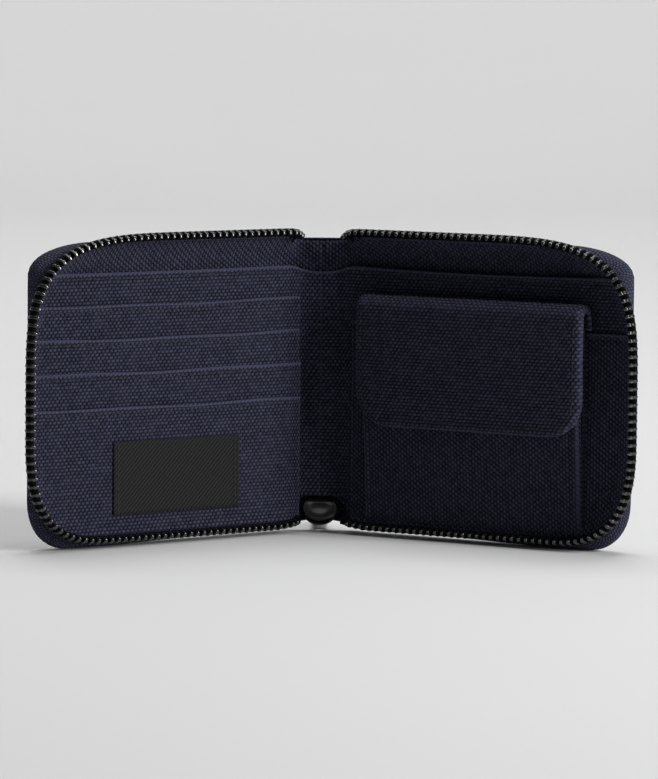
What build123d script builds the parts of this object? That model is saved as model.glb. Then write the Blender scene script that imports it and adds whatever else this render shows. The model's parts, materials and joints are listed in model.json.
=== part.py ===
from build123d import *
import os
from math import atan2, cos, degrees, hypot, pi, radians, sin

# Zip around wallet standing open on its bottom edges, in millimetres. +Z up, +Y out through the back of the spine.
# Each half is made lying flat: X runs from its fold line to the fore edge, Y = -depth, depth grows to the inside.
# It is then turned to its rest angle about its fold line. The left half is the mirror image of the right one.

# Spine and opening
FOLD_X = 9.5             # from the middle of the spine to each fold line
LEFT_TURN = 36.5         # turn of the left half from lying flat, degrees
RIGHT_TURN = 30.4        # turn of the right half from lying flat, degrees
FOLD_GAP = 0.35          # bare stretch beside a fold line on the outside
INNER_START = 1.8        # where the inner layers begin, clear of the spine when shut

# One half of the cover
WIDTH = 101.5            # fold line to the outside of the fore edge
TOP = 95.5               # top edge of the cover
BOTTOM_AT_SPINE = 2.0    # the bottom edge is a little cut up towards the spine
REST_FROM = 68.0         # from here to the fore edge the bottom edge is level
CORNER = 9.0             # cover corner radius
BACK = -2.2              # depth of the outside face
CANVAS = 1.0             # canvas thickness
LINING = 0.6             # lining thickness
WALL_TOP = 4.5           # depth the canvas edge is turned up to

# Zip
RIM = 9.5                # depth of the closing line, half the inside of the shut wallet
TAPE_TOP = 7.9           # depth of the tape's free edge
TAPE = 0.5               # tape thickness
TEETH_WIDTH = 105.5      # fold line to the row of teeth at the fore edge
TEETH_LOW = 2.6          # height of the lower row of teeth
TEETH_HIGH = 97.2        # height of the upper row of teeth
TEETH_CORNER = 19.0      # corner radius of the row of teeth
PITCH = 2.5              # tooth to tooth along one row
TOOTH_ALONG = 1.05
TOOTH_ACROSS = 2.0
TOOTH_TIP = 10.1         # depth of the tooth tips, past the closing line so that the rows mesh
TOP_START = 7.5          # the upper row begins here, after the top stop
LOW_END = 15.0           # the lower row ends here, where the rows curve in to the slider
STOP_LENGTH = 3.0
WALL_CUT = 2.1           # depth past which the bottom wall is cut away beside the slider
SLIDER_ROOM = 13.5       # height of the corner the card pockets leave free beside the slider

# Pockets
PANEL = (2.2, 3.0)       # depths of the notes panel
PANEL_TOP = 86.0
PANEL_LOW = 5.0
CARD_EDGES = (76.0, 65.5, 55.0, 44.0)
CARD_FIRST = 3.1         # depth of the first card pocket
CARD_STEP = 0.6
CARD_THICK = 0.5
LABEL = (24.5, 73.0, 10.0, 33.0)
SLIP_TOP = 68.5
COIN_LEFT = 9.0          # coin pocket, along the half
COIN_RIGHT = 87.0
COIN_LOW = 6.0
COIN_BACK = (3.9, 4.5)
COIN_MOUTH = 74.0        # height of the coin pocket's open edge
COIN_TOP_DEPTH = 10.6    # inside face of its front at the mouth
COIN_LOW_DEPTH = 6.0     # inside face of its front at the bottom
COIN_FRONT = 0.7
FLAP_LEFT = 8.0
FLAP_RIGHT = 90.3
FLAP_FOLD = 77.0         # height of both flap folds
FLAP_LOW = 35.6
FLAP_ROOT = 4.7          # depth of the fold at the back of the flap
FLAP_FACE = (11.5, 11.9, 12.5)   # depths of flap lining, flap canvas, outside
FLAP_CORNER = 8.0
MAGNET_R = 6.0
MAGNET_Z = 44.0

# Spine
SPINE_LOW = 3.0
SPINE_TOP = 94.5
NOTCH_HALF = 6.6         # opening at the foot of the spine for the slider
NOTCH_TOP = 17.0
SPINE_PANEL_LOW = 12.0

# Slider, about its own middle: -Y is the nose, +Z the inner plate
SLIDER_TILT = 40.0
SLIDER_AT = (0.0, -3.0, 6.1)
NOSE = 5.2
SHOULDER = 5.3
REAR_HALF = 3.6
PLATE = (1.9, 2.7)
CROWN_LOW = 5.6
BAR_R = 0.6
END_HEIGHT = 3.4             # height of the middle of those runs
SLIDER_SIDE = (6.4, -8.2)   # where each row's end meets the slider's side
PULL_LENGTH = 21.0
PULL_WIDTH = 5.0
PULL_THICK = 1.2
PULL_WINDOW = 4.2        # length of the tab's opening round the crown
PULL_DROOP = -6.5        # the tab lies back and a little down, degrees
END_TEETH = 4            # teeth of each row between the half and the slider

SIDES = {"left": (-1, LEFT_TURN), "right": (1, RIGHT_TURN)}
nodes = {}


def place(shape, side):
    """Turns a flat-lying half's piece to its rest angle, and mirrors it for the left."""
    sign, turn = SIDES[side]
    turned = Pos(FOLD_X, 0, 0) * Rot(0, 0, -turn) * shape
    if sign < 0:
        turned = mirror(turned, about=Plane.YZ)
    return turned


def slab(face, low, high):
    """A flat layer of a half between two depths."""
    return extrude(Plane.XZ.offset(low) * face, high - low)


def cover_face(inset, start):
    """Outline of the cover seen square on, drawn in by inset, open to the spine at start."""
    low = inset
    outline = Polyline(
        (start, BOTTOM_AT_SPINE + inset),
        (REST_FROM, low),
        (WIDTH - inset, low),
        (WIDTH - inset, TOP - inset),
        (start, TOP - inset),
        close=True,
    )
    face = make_face(outline)
    corners = face.vertices().group_by(Axis.X)[-1]
    return fillet(corners, CORNER - inset)


def panel_face(start, end, low, high, radius):
    """A rectangle with its two fore-edge corners rounded."""
    face = make_face(Polyline((start, low), (end, low), (end, high), (start, high), close=True))
    return fillet(face.vertices().group_by(Axis.X)[-1], radius)


def rim_face(grow, start):
    """Outline of the row of teeth, grown or shrunk by a distance."""
    return panel_face(
        start, TEETH_WIDTH + grow, TEETH_LOW - grow, TEETH_HIGH + grow, TEETH_CORNER + grow
    )


def band(inset, thick, start):
    """The U-shaped strip of a given thickness along the top, fore and bottom edges."""
    return cover_face(inset, start) - cover_face(inset + thick, start - 5)


def strip(profile, left, right):
    """A piece of constant section along the half, from its (depth, height) profile."""
    face = make_face(Polyline(*[(-d, z) for d, z in profile], close=True))
    return extrude(Plane.YZ.offset(left) * face, right - left)


def block(u0, u1, d0, d1, z0, z1):
    """A box in a half's flat frame."""
    return Pos((u0 + u1) / 2, -(d0 + d1) / 2, (z0 + z1) / 2) * Box(u1 - u0, d1 - d0, z1 - z0)


def spine_clearance(depth, height):
    """The corner at the foot of the spine that each half leaves free for the slider."""
    return block(-5, LOW_END - 0.6, depth, 30, -5, height)


def cover_tray():
    tray = slab(cover_face(0, FOLD_GAP), BACK, BACK + CANVAS)
    wall = slab(band(0, CANVAS, INNER_START), BACK + CANVAS, WALL_TOP)
    return tray + (wall - spine_clearance(WALL_CUT, 16))


def zip_tape():
    """The tape, sewn inside the turned-up edge and flaring out to the row of teeth."""
    inset = CANVAS + 0.02
    foot = slab(band(inset, TAPE, INNER_START), 1.0, WALL_TOP)
    outer = loft([
        Plane.XZ.offset(WALL_TOP) * cover_face(inset, INNER_START),
        Plane.XZ.offset(TAPE_TOP) * rim_face(TAPE / 2, INNER_START),
    ], ruled=True)
    inner = loft([
        Plane.XZ.offset(WALL_TOP) * cover_face(inset + TAPE, INNER_START - 5),
        Plane.XZ.offset(TAPE_TOP) * rim_face(-TAPE / 2, INNER_START - 5),
    ], ruled=True)
    return foot + (outer - inner) - spine_clearance(WALL_CUT, 16)


def rim_path():
    """Lengths of the top run, the corner arc and the fore-edge run of the row of teeth."""
    straight = TEETH_WIDTH - TEETH_CORNER
    arc = TEETH_CORNER * pi / 2
    fore = TEETH_HIGH - TEETH_LOW - 2 * TEETH_CORNER
    return straight, arc, fore


def rim_point(s):
    """Place (u, z) and turn of the rim at distance s from the fold line along the top."""
    straight, arc, fore = rim_path()
    if s < straight:
        return s, TEETH_HIGH, 0.0
    s -= straight
    if s < arc:
        a = s / TEETH_CORNER
        return (
            straight + TEETH_CORNER * sin(a),
            TEETH_HIGH - TEETH_CORNER * (1 - cos(a)),
            a,
        )
    s -= arc
    if s < fore:
        return TEETH_WIDTH, TEETH_HIGH - TEETH_CORNER - s, pi / 2
    s -= fore
    if s < arc:
        a = s / TEETH_CORNER
        return (
            TEETH_WIDTH - TEETH_CORNER * (1 - cos(a)),
            TEETH_LOW + TEETH_CORNER * (1 - sin(a)),
            pi / 2 + a,
        )
    s -= arc
    return straight - s, TEETH_LOW, pi


def teeth(offset):
    """The row of teeth of one half; the rows of the two halves differ by half a pitch."""
    straight, arc, fore = rim_path()
    length = 2 * (straight + arc) + fore
    row = []
    s = TOP_START + offset
    while s < length - LOW_END:
        u, z, turn = rim_point(s)
        tooth = Box(TOOTH_ALONG, TOOTH_TIP - TAPE_TOP - 0.05, TOOTH_ACROSS)
        depth = (TAPE_TOP + 0.05 + TOOTH_TIP) / 2
        row.append(Pos(u, -depth, z) * Rot(0, turn * 180 / pi, 0) * tooth)
        s += PITCH
    return Compound(row)


def make_cover_half(side):
    offset = {"left": 0.0, "right": PITCH / 2}[side]
    board = BACK + CANVAS
    nodes[f"{side}_outer_cover"] = place(cover_tray(), side)
    nodes[f"{side}_cover_board"] = place(
        slab(cover_face(CANVAS + 0.1, INNER_START), board, board + 1.0), side
    )
    nodes[f"{side}_inner_lining"] = place(
        slab(cover_face(CANVAS + TAPE + 0.1, INNER_START), board + 1.05, board + 1.55), side
    )
    edge = slab(band(CANVAS + TAPE + 0.1, LINING, INNER_START), 1.0, WALL_TOP - 0.2)
    nodes[f"{side}_edge_lining"] = place(edge - spine_clearance(WALL_CUT, 16), side)
    nodes[f"{side}_zip_tape"] = place(zip_tape(), side)
    nodes[f"{side}_zip_teeth"] = place(teeth(offset), side)
    stop = block(3.2, 3.2 + STOP_LENGTH, TAPE_TOP + 0.05, RIM - 0.15, TEETH_HIGH - 1.1, TEETH_HIGH + 1.1)
    nodes[f"{side}_top_stop"] = place(stop, side)
    panel = panel_face(INNER_START, WIDTH - 2.6, PANEL_LOW, PANEL_TOP, 6.0)
    nodes[f"{side}_notes_panel"] = place(slab(panel, *PANEL), side)


def make_card_pockets():
    for i, edge in enumerate(CARD_EDGES):
        depth = CARD_FIRST + i * CARD_STEP
        face = panel_face(INNER_START, WIDTH - 3.0, PANEL_LOW + 0.5, edge, 0.5)
        pocket = slab(face, depth, depth + CARD_THICK) - spine_clearance(PANEL[1], SLIDER_ROOM)
        nodes[f"card_pocket_{i + 1}"] = place(pocket, "left")
    u0, u1, z0, z1 = LABEL
    front = CARD_FIRST + (len(CARD_EDGES) - 1) * CARD_STEP + CARD_THICK
    nodes["woven_label"] = place(block(u0, u1, front + 0.02, front + 0.35, z0, z1), "left")


def coin_front_depth(z):
    """Inside face of the coin pocket's front at a height."""
    share = (z - COIN_LOW) / (COIN_MOUTH - COIN_LOW)
    return COIN_LOW_DEPTH + share * (COIN_TOP_DEPTH - COIN_LOW_DEPTH)


def make_coin_pocket():
    slip = panel_face(INNER_START, WIDTH - 3.0, PANEL_LOW + 0.5, SLIP_TOP, 0.5)
    nodes["slip_pocket"] = place(slab(slip, 3.1, 3.7), "right")
    back = panel_face(COIN_LEFT, COIN_RIGHT, COIN_LOW, FLAP_FOLD - 0.8, 0.5)
    nodes["coin_pocket_back"] = place(slab(back, *COIN_BACK), "right")
    low = coin_front_depth(COIN_LOW)
    mouth = coin_front_depth(COIN_MOUTH)
    front = strip([
        (low, COIN_LOW), (low + COIN_FRONT, COIN_LOW),
        (mouth + COIN_FRONT, COIN_MOUTH), (mouth, COIN_MOUTH),
    ], COIN_LEFT, COIN_RIGHT)
    nodes["coin_pocket_front"] = place(front, "right")
    inner = COIN_BACK[1] + 0.02
    side = [(inner, COIN_LOW), (low - 0.02, COIN_LOW), (mouth - 0.02, COIN_MOUTH), (inner, COIN_MOUTH)]
    gusset = strip(side, COIN_LEFT, COIN_RIGHT)
    hollow = strip(
        [(0, COIN_LOW + LINING), (20, COIN_LOW + LINING), (20, 90), (0, 90)],
        COIN_LEFT + LINING, COIN_RIGHT - LINING,
    )
    nodes["coin_pocket_gusset"] = place(gusset - hollow, "right")


def flap_face(inset):
    """The hanging flap seen square on, with its two lower corners rounded."""
    face = make_face(Polyline(
        (FLAP_LEFT + inset, FLAP_FOLD - 0.6),
        (FLAP_RIGHT - inset, FLAP_FOLD - 0.6),
        (FLAP_RIGHT - inset, FLAP_LOW + inset),
        (FLAP_LEFT + inset, FLAP_LOW + inset),
        close=True,
    ))
    return fillet(face.vertices().group_by(Axis.Y)[0], FLAP_CORNER - inset)


def make_flap():
    lining, canvas, outside = FLAP_FACE
    middle = (FLAP_LEFT + FLAP_RIGHT) / 2
    top = [(FLAP_ROOT + 0.3, FLAP_FOLD - 0.5), (lining - 0.3, FLAP_FOLD - 0.5)]
    top += [(lining - 0.3, FLAP_FOLD + 0.5), (FLAP_ROOT + 0.3, FLAP_FOLD + 0.5)]
    nodes["coin_flap_top"] = place(strip(top, FLAP_LEFT, FLAP_RIGHT), "right")
    disc = Pos(middle, -(lining + canvas) / 2, MAGNET_Z) * Rot(90, 0, 0) * Cylinder(MAGNET_R, 0.36)
    hole = Pos(middle, -(lining + canvas) / 2, MAGNET_Z) * Rot(90, 0, 0) * Cylinder(MAGNET_R + 0.1, 2)
    nodes["coin_flap_lining"] = place(slab(flap_face(1.0), lining, canvas) - hole, "right")
    nodes["coin_flap_front"] = place(slab(flap_face(0.0), canvas, outside), "right")
    nodes["flap_magnet"] = place(disc, "right")
    lean = degrees(atan2(COIN_TOP_DEPTH - COIN_LOW_DEPTH, COIN_MOUTH - COIN_LOW))
    depth = coin_front_depth(MAGNET_Z) - 0.45
    pocket_disc = Pos(middle, -depth, MAGNET_Z) * Rot(90 + lean, 0, 0) * Cylinder(MAGNET_R, 0.8)
    nodes["pocket_magnet"] = place(pocket_disc, "right")


def make_spine():
    notch = Pos(0, 0, 0) * Box(2 * NOTCH_HALF, 20, 2 * NOTCH_TOP)
    half = FOLD_X - FOLD_GAP
    height = SPINE_TOP - SPINE_LOW
    middle = (SPINE_TOP + SPINE_LOW) / 2
    outer = Pos(0, -BACK / 2 + 0.6, middle) * Box(2 * half, -BACK - 1.2, height)
    nodes["spine_outer_cover"] = outer - notch
    lining = Pos(0, 0.35, middle) * Box(2 * half, LINING, height - 1)
    nodes["spine_lining"] = lining - notch
    panel_height = PANEL_TOP - 1 - SPINE_PANEL_LOW
    panel_middle = (PANEL_TOP - 1 + SPINE_PANEL_LOW) / 2
    nodes["spine_notes_panel"] = Pos(0, -2.6, panel_middle) * Box(7.2, 0.8, panel_height)


def slider_plate():
    """Shield-shaped plate: rounded nose, wide shoulders, narrower rear."""
    outline = make_face(
        Line((-REAR_HALF, NOSE), (REAR_HALF, NOSE))
        + Line((REAR_HALF, NOSE), (SHOULDER, -1.5))
        + ThreePointArc((SHOULDER, -1.5), (3.4, -4.1), (0, -NOSE))
        + ThreePointArc((0, -NOSE), (-3.4, -4.1), (-SHOULDER, -1.5))
        + Line((-SHOULDER, -1.5), (-REAR_HALF, NOSE))
    )
    return outline


def slider_place(shape):
    return Pos(*SLIDER_AT) * Rot(SLIDER_TILT, 0, 0) * shape


def make_slider():
    inner, outer = PLATE
    plate = slider_plate()
    top = Pos(0, 0, inner) * extrude(plate, outer - inner)
    bottom = Pos(0, 0, -outer) * extrude(plate, outer - inner)
    bridge = Pos(0, -3.2, 0) * Box(2.2, 2.8, 2 * inner + 0.4)
    body = top + bottom + bridge
    for side in (-1, 1):
        body += Pos(side * 3.6, 3.0, 0) * Box(0.8, 4.0, 2 * inner + 0.4)
    arch = Pos(0, 0.4, -(outer + CROWN_LOW) / 2) * Box(1.6, 5.6, CROWN_LOW - outer)
    window = Pos(0, 0.4, -outer - 1.25) * Box(3, 3.4, 2.1)
    nodes["slider_body"] = slider_place(body)
    nodes["slider_crown"] = slider_place(arch - window)


def pull_axis():
    """World point of the bar that the pull swings on."""
    angle = radians(SLIDER_TILT)
    y, z = 0.4, -PLATE[1] - 1.2
    return (
        SLIDER_AT[1] + y * cos(angle) - z * sin(angle),
        SLIDER_AT[2] + y * sin(angle) + z * cos(angle),
    )


def make_pull():
    """A flat tab lying back behind the spine, with a window round the crown."""
    y, z = pull_axis()
    tab = Pos(0, PULL_LENGTH / 2, 0) * Box(PULL_WIDTH, PULL_LENGTH, PULL_THICK)
    tab = fillet(tab.edges().filter_by(Axis.Z).group_by(Axis.Y)[-1], 2.0)
    window = Pos(0, PULL_WINDOW / 2 - 1, 0) * Box(2.4, PULL_WINDOW + 2, 5)
    bar = Rot(0, 90, 0) * Cylinder(BAR_R, PULL_WIDTH)
    pull = tab - window + bar
    nodes["pull_tab"] = Pos(0, y, z) * Rot(PULL_DROOP, 0, 0) * pull


def make_zip_ends():
    """The short runs of tape and teeth between each half and the slider, and the sewn-in tail."""
    for side, (sign, turn) in SIDES.items():
        angle = radians(turn)
        start_x = FOLD_X + LOW_END * cos(angle) - TAPE_TOP * sin(angle) - 1.5
        start_y = -LOW_END * sin(angle) - TAPE_TOP * cos(angle) + 0.6
        run_x, run_y = start_x - SLIDER_SIDE[0], start_y - SLIDER_SIDE[1]
        length = hypot(run_x, run_y)
        heading = Rot(0, 0, sign * degrees(atan2(run_y, run_x)))
        row = []
        for i in range(END_TEETH):
            share = (i + 0.5) / END_TEETH
            x = SLIDER_SIDE[0] + share * run_x
            y = SLIDER_SIDE[1] + share * run_y
            tooth = Pos(0, -TOOTH_ACROSS / 2 - TAPE, 0) * Box(TOOTH_ALONG, TOOTH_ACROSS, 1.8)
            row.append(Pos(sign * x, y, END_HEIGHT) * heading * tooth)
        nodes[f"{side}_teeth_end"] = Compound(row)
        x = SLIDER_SIDE[0] + run_x / 2
        y = SLIDER_SIDE[1] + run_y / 2
        nodes[f"{side}_tape_end"] = Pos(sign * x, y, END_HEIGHT) * heading * Box(length - 1, TAPE, 2.6)
    nodes["zip_tail"] = Pos(0, -0.9, 21.0) * Box(7.0, 0.8, 10.0)
    nodes["bottom_stop"] = Pos(0, -1.0, 15.0) * Box(4.0, 1.6, 1.6)


def centre_and_export():
    """Moves everything so that the box's bottom centre is the origin, and writes the parts."""
    box = Compound(list(nodes.values())).bounding_box()
    shift = Pos(-(box.min.X + box.max.X) / 2, -(box.min.Y + box.max.Y) / 2, -box.min.Z)
    os.makedirs("parts", exist_ok=True)
    for name, shape in nodes.items():
        export_step(shift * shape, f"parts/{name}.step")
    centre = box.center()
    print("shift", round(-centre.X, 4), round(-centre.Y, 4), round(-box.min.Z, 4))
    print("size", [round(v, 2) for v in tuple(box.size)])


for half in SIDES:
    make_cover_half(half)
make_card_pockets()
make_coin_pocket()
make_flap()
make_spine()
make_slider()
make_pull()
make_zip_ends()
centre_and_export()
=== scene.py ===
"""Looks of the zip around wallet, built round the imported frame. The half frames are in millimetres."""
import json
from math import cos, hypot, pi, radians, sin

import bpy
import numpy as np
from mathutils import Matrix, Vector


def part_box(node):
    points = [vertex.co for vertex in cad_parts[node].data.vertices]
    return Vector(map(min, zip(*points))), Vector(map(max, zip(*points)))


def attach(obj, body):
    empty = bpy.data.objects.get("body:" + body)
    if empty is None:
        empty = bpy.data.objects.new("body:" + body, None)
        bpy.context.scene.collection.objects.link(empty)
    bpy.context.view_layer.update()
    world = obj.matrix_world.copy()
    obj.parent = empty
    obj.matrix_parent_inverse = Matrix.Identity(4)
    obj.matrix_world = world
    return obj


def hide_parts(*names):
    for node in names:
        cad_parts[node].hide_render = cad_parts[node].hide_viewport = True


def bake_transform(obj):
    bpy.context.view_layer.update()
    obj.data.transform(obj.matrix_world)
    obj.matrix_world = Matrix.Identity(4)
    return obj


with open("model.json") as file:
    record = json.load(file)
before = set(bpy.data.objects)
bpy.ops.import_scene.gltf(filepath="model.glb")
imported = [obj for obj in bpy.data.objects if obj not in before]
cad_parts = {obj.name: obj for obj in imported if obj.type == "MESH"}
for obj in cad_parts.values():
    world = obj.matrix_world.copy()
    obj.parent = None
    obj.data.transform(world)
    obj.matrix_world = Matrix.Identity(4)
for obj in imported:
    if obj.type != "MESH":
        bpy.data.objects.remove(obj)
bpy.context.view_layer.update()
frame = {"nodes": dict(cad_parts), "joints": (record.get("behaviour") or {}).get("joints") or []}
MM = 0.001
JOINTS = {j["name"]: j for j in frame["joints"]}

FOLD_X = 0.5 * abs(JOINTS["right_cover_fold"]["pos_m"][0] - JOINTS["left_cover_fold"]["pos_m"][0]) / MM
PITCH = 2.5         # of the teeth
BEND = 5.0          # half width of the rounded bend at each fold line
FOOT_U = 10.0       # where a half's row of teeth ends and its loose end begins


def unit(t):
    return np.clip(t, 0, 1)


def smooth(t):
    t = unit(t)
    return t * t * (3 - 2 * t)


def bell(x, width):
    return np.exp(-(x / width) ** 2)


# ---------------------------------------------------------------- frames

class Half:
    """One cover half: u out from the fold line (negative on the spine), n to the inside, z up, in mm."""

    def __init__(self, side):
        joint = JOINTS[f"{side}_cover_fold"]
        self.side = side
        self.body = f"{side}_half"
        self.sign = -1 if side == "left" else 1
        self.turn = radians(joint["range_deg"][1])
        self.fold = Vector((joint["pos_m"][0], joint["pos_m"][1], 0.0)) / MM
        self.spine_x = self.fold.x - self.sign * FOLD_X

    def plan(self, u):
        """Point and inward normal of the sheet's line in plan, rounded off at the fold."""
        u = np.asarray(u, float)
        c, s = cos(self.turn), sin(self.turn)
        t = unit((u + BEND) / (2 * BEND))
        x_spine, x_half, y_half = np.minimum(u, -BEND), np.maximum(u, BEND) * c, -np.maximum(u, BEND) * s
        bx = (1 - t) ** 2 * -BEND + t ** 2 * BEND * c
        by = -t ** 2 * BEND * s
        x = np.where(u < -BEND, x_spine, np.where(u > BEND, x_half, bx))
        y = np.where(u < -BEND, 0.0, np.where(u > BEND, y_half, by))
        dx = (1 - t) + t * c
        dy = -t * s
        size = np.hypot(dx, dy)
        dx, dy = dx / size, dy / size
        return x, y, dy, -dx

    def world(self, u, n, z):
        """Points of the half frame as world points, in metres."""
        u, n, z = np.broadcast_arrays(*(np.asarray(v, float) for v in (u, n, z)))
        x, y, nx, ny = self.plan(u)
        x, y = x + n * nx, y + n * ny
        return np.stack([self.fold.x + self.sign * x, self.fold.y + y, z], -1) * MM

    def extent(self, node):
        """Lowest and highest (u, n, z) of a CAD node in this half, away from the bend."""
        points = np.array([v.co for v in frame["nodes"][node].data.vertices]) / MM
        away = points - self.world(20.0, 0.0, 0.0) / MM
        c, s = cos(self.turn), sin(self.turn)
        u = 20.0 + away @ np.array([self.sign * c, -s, 0.0])
        n = away @ np.array([-self.sign * s, -c, 0.0])
        own = np.stack([u, n, points[:, 2]], -1)
        return own.min(0), own.max(0)

    def cloth(self, u):
        """The cloth's own x at u, running the same way across the whole wallet."""
        return self.sign * (np.asarray(u) + FOLD_X)

    def blend(self, obj):
        """Bakes the placement of a sheet that runs over this half's fold line into its mesh."""
        start = Vector(self.world(BEND, 0, 0))
        end = Vector(self.world(-BEND, 0, 0))
        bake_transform(obj)


LEFT, RIGHT = Half("left"), Half("right")
HALVES = (LEFT, RIGHT)

# Places in the half frames, in millimetres, from the frame's own nodes
COVER_LOW, COVER_HIGH = LEFT.extent("left_outer_cover")
WIDE, TOP, BACK = COVER_HIGH[0], COVER_HIGH[2], COVER_LOW[1]
SPINE_LOW, SPINE_TOP = (point[2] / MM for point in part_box("spine_outer_cover"))
TAPE_TOP = LEFT.extent("left_zip_tape")[1][1]
TOOTH_HALF = 1.0    # half of a CAD tooth across the row
TEETH_LOW, TEETH_HIGH = LEFT.extent("left_zip_teeth")
RIM_FORE, RIM_TOP, RIM_LOW = TEETH_HIGH[0] - TOOTH_HALF, TEETH_HIGH[2] - TOOTH_HALF, TEETH_LOW[2] + TOOTH_HALF
FOOT_LOW, FOOT_HIGH = LEFT.extent("left_teeth_end")
CARD_EDGES = tuple(LEFT.extent(f"card_pocket_{i}")[1][2] for i in (1, 2, 3, 4))
PANEL_TOP = LEFT.extent("left_notes_panel")[1][2]
SLIP_TOP = RIGHT.extent("slip_pocket")[1][2]
COIN_LOW, COIN_HIGH = RIGHT.extent("coin_pocket_front")
COIN_LEFT, COIN_RIGHT = COIN_LOW[0], COIN_HIGH[0]
LABEL_LOW, LABEL_HIGH = LEFT.extent("woven_label")

# Depths and heights that are given here, not read from the frame
CARD_DEPTH, CARD_STEP = 3.9, 0.6            # of the first card pocket, and from one to the next
LABEL_DEPTH = CARD_DEPTH + 3 * CARD_STEP    # of the pocket that carries the label
SLIP_DEPTH, NOTES_DEPTH, LINING_DEPTH = 4.0, 3.1, 0.6
NOTES_FOOT = 11.7                           # foot of the notes panel and of the lining on the spine
COIN_FOOT, COIN_MOUTH = (6.3, 6.0), (11.3, 74.0)    # (depth, height) of the coin pocket's face
COIN_BACK = 4.9
LIFT_END = 7.0                              # depth at which the inner sheets meet the tape


# ---------------------------------------------------------------- meshes

def make_object(name, verts, faces, material, uv=None, flip=False):
    """A smooth-shaded mesh object; uv holds one (u, v) in mm for each vertex."""
    mesh = bpy.data.meshes.new(name)
    if flip:
        faces = [tuple(reversed(f)) for f in faces]
    mesh.from_pydata([tuple(v) for v in verts], [], faces)
    mesh.validate()
    mesh.shade_smooth()
    if uv is not None:
        layer = mesh.uv_layers.new(name="cloth")
        loop_vertex = np.empty(len(mesh.loops), int)
        mesh.loops.foreach_get("vertex_index", loop_vertex)
        layer.data.foreach_set("uv", np.asarray(uv, np.float32)[loop_vertex].ravel())
    mesh.materials.append(material)
    obj = bpy.data.objects.new(name, mesh)
    bpy.context.scene.collection.objects.link(obj)
    return obj


def grid_faces(rows, cols, base=0, close=False):
    """Quads of a rows by cols grid of vertices; close joins the last column to the first."""
    out = []
    for r in range(rows - 1):
        for c in range(cols if close else cols - 1):
            d = (c + 1) % cols
            out.append((base + r * cols + c, base + r * cols + d,
                        base + (r + 1) * cols + d, base + (r + 1) * cols + c))
    return out


def grid_object(name, points, uv, material, flip=False):
    faces = grid_faces(*points.shape[:2])
    return make_object(name, points.reshape(-1, 3), faces, material, uv.reshape(-1, 2), flip)


def tube_faces(rings, steps, base=0):
    """Faces of a closed stack of rings, with a cap at each end."""
    last = base + (rings - 1) * steps
    caps = [tuple(base + i for i in reversed(range(steps))), tuple(last + i for i in range(steps))]
    return grid_faces(rings, steps, base, close=True) + caps


def thicken(obj, thickness, offset=-1.0):
    mod = obj.modifiers.new("thickness", "SOLIDIFY")
    mod.thickness = thickness * MM
    mod.offset = offset


# ---------------------------------------------------------------- outlines

def spline(points, per=14):
    """A smooth line through points (Catmull-Rom)."""
    p = np.array(points, float)
    p = np.vstack([2 * p[0] - p[1], p, 2 * p[-1] - p[-2]])
    t = np.linspace(0, 1, per, endpoint=False)[:, None]
    out = []
    for a, b, c, d in zip(p, p[1:], p[2:], p[3:]):
        out.append(0.5 * (2 * b + (c - a) * t + (2 * a - 5 * b + 4 * c - d) * t ** 2
                          + (3 * b - a - 3 * c + d) * t ** 3))
    return np.vstack(out + [p[-2:-1]])


def lengths(points):
    return np.concatenate([[0], np.cumsum(np.linalg.norm(np.diff(points, axis=0), axis=1))])


def along_line(at, run, points):
    return np.stack([np.interp(at, run, points[:, i]) for i in range(points.shape[1])], -1)


def resample(points, count):
    run = lengths(points)
    return along_line(np.linspace(0, run[-1], count), run, points)


def outward(points):
    """Unit normals to the left of the way along an open line (outwards for lines run clockwise)."""
    d = np.gradient(points, axis=0)
    d /= np.linalg.norm(d, axis=1)[:, None]
    return np.stack([-d[:, 1], d[:, 0]], -1)


def distinct(parts):
    """The points of several lines put end to end, without repeats."""
    line = np.vstack(parts)
    return line[np.concatenate([[True], np.linalg.norm(np.diff(line, axis=0), axis=1) > 1e-6])]


def corner(cu, cz, a, b, power, first, last, count=26):
    """Part of a rounded corner between two angles from the z axis, in degrees."""
    t = np.radians(np.linspace(first, last, count))
    s, c = np.sin(t), np.cos(t)
    return np.stack([cu + a * np.sign(s) * np.abs(s) ** (2 / power),
                     cz + b * np.sign(c) * np.abs(c) ** (2 / power)], -1)


RISE = (10.0, 2.4)              # width and power of the curve by which the row climbs off the spine
UPPER = (60.0, 48.0, 3.8)       # width, height and power of the fore edge's upper corner
LOWER = (30.0, 34.0, 2.8)       # the same for its lower corner


def rim_line():
    """Line of the teeth: up off the spine, round two soft corners and back along the foot to the slider."""
    rise = corner(9.0, SPINE_TOP, RISE[0], RIM_TOP - SPINE_TOP, RISE[1], -90, 0, 12)
    top = corner(RIM_FORE - UPPER[0], RIM_TOP - UPPER[1], *UPPER, 0, 90, 60)
    low = corner(RIM_FORE - LOWER[0], RIM_LOW + LOWER[1], *LOWER, 90, 180, 40)
    mouth = (FOOT_LOW[0], 0.5 * (FOOT_LOW[2] + FOOT_HIGH[2]))
    line = np.vstack([rise, top, low, [(FOOT_U, RIM_LOW), mouth, (-5.5, mouth[1] + 1.3)]])
    keep = np.concatenate([[True], np.linalg.norm(np.diff(line, axis=0), axis=1) > 0.05])
    return resample(line[keep], 300)


RIM = rim_line()
RIM_RUN = lengths(RIM)
RIM_OUT = outward(RIM)


def rim_distance(u, z):
    """Distance from the line of the teeth."""
    u, z = np.broadcast_arrays(np.asarray(u, float), np.asarray(z, float))
    best = np.full(u.shape, 1e9)
    for pu, pz in RIM:
        best = np.minimum(best, np.hypot(u - pu, z - pz))
    return best


def rim_inset(amount):
    return RIM - RIM_OUT * amount


def rim_index(u, z):
    """The station of the line of teeth that is nearest to a point."""
    return int(np.argmin(np.hypot(RIM[:, 0] - u, RIM[:, 1] - z)))


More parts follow.
